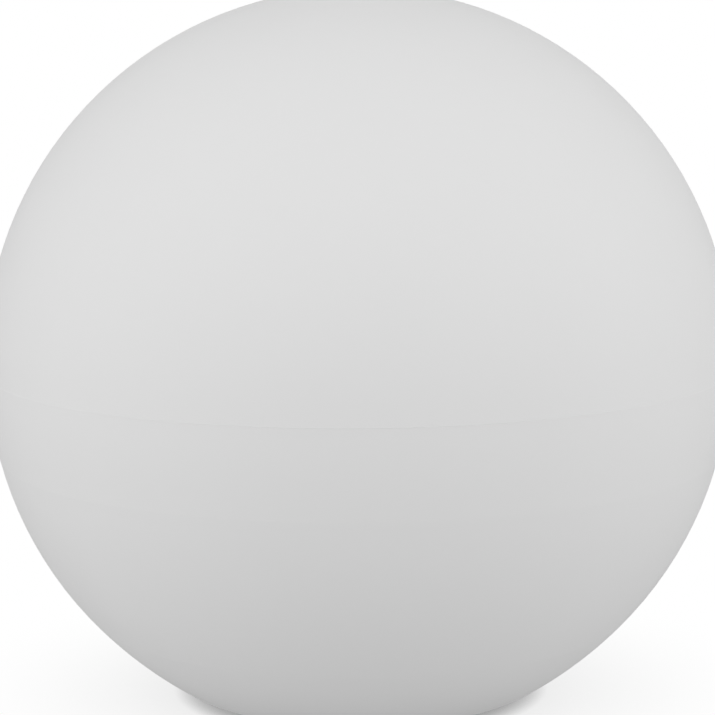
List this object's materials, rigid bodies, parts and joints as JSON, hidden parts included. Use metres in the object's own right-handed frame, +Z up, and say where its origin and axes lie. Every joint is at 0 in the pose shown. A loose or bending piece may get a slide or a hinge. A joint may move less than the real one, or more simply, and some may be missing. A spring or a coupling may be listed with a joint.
{
  "type": "solar garden lamp",
  "caption": "White two-part globe garden lamp on a flat foot, with a lift-out solar unit in its crown that holds panel, battery, switch and downward light.",
  "frame": {"origin": "centre of the globe's plan at the ground, under the foot pads", "axes": "+Z up through the crown; +X and +Y level, the picture looks along +Y; the battery door is on the +Y side of the solar unit"},
  "size_m": [0.3, 0.3, 0.2822],
  "materials": {
    "globe_white": "fine matt, slightly translucent white",
    "seal_grey": "soft matt",
    "pad_rubber": "matt",
    "bezel_black": "fine grain",
    "housing_white": "satin",
    "o_ring_black": "smooth",
    "screw_steel": "zinc plated",
    "panel_backing": "laminate",
    "silicon": "dark blue-black with fine grid lines",
    "tinned_ribbon": "tinned",
    "tape_black": "foam tape",
    "clear_window": "clear, polished",
    "board_green": "solder mask",
    "chip_black": "moulded",
    "ferrite": "sintered",
    "copper": "enamelled wire",
    "capacitor_sleeve": "sleeved",
    "diode_black": "moulded",
    "resistor_black": "ceramic",
    "led_phosphor": "phosphor gel",
    "lens_frosted": "frosted",
    "switch_black": "moulded",
    "switch_plunger": "moulded",
    "button_grey": "soft matt",
    "battery_sleeve": "plain shrink sleeve over a steel can",
    "battery_cap_steel": "nickel plated",
    "contact_nickel": "nickel plated spring steel",
    "door_white": "satin",
    "pin_steel": "bright drawn",
    "wire_red": "insulated wire",
    "wire_black": "insulated wire"
  },
  "bodies": {
    "base": {"lower_shell": "globe_white", "seam_gasket": "seal_grey", "foot_pads": "pad_rubber"},
    "dome": {"upper_shell": "globe_white"},
    "solar_unit": {"unit_bezel": "bezel_black", "unit_housing": "housing_white", "unit_o_ring": "o_ring_black", "housing_screws": "screw_steel", "panel_board": "panel_backing", "solar_cells": "silicon", "cell_ribbons": "tinned_ribbon", "panel_seal": "tape_black", "panel_cover": "clear_window", "circuit_board": "board_green", "board_screws": "screw_steel", "controller_chip": "chip_black", "inductor_core": "ferrite", "inductor_winding": "copper", "storage_capacitor": "capacitor_sleeve", "charge_diode": "diode_black", "chip_resistors": "resistor_black", "leds": "led_phosphor", "led_lens": "lens_frosted", "switch_body": "switch_black", "battery_cell": "battery_sleeve", "battery_cap": "battery_cap_steel", "battery_contact_positive": "contact_nickel", "battery_contact_negative": "contact_nickel", "door_hinge_pin": "pin_steel", "panel_lead_positive": "wire_red", "panel_lead_negative": "wire_black", "battery_lead_positive": "wire_red", "battery_lead_negative": "wire_black"},
    "door": {"battery_door": "door_white"},
    "button": {"power_button": "button_grey", "switch_plunger": "switch_plunger"}
  },
  "joints": [
    {"name": "dome_lift", "type": "slide", "parent": "base", "child": "dome", "axis": [0, 0, 1], "range_m": [0, 0.16]},
    {"name": "unit_lift", "type": "slide", "parent": "dome", "child": "solar_unit", "axis": [0, 0, 1], "range_m": [0, 0.07]},
    {"name": "door_hinge", "type": "hinge", "parent": "solar_unit", "child": "door", "pos_m": [0, 0.015, 0.2435], "axis": [1, 0, 0], "range_deg": [0, 95]},
    {"name": "button_press", "type": "slide", "parent": "solar_unit", "child": "button", "axis": [0, 0, 1], "range_m": [0, 0.0009], "stiffness_N_per_m": 250, "springref_m": -0.0012}
  ]
}
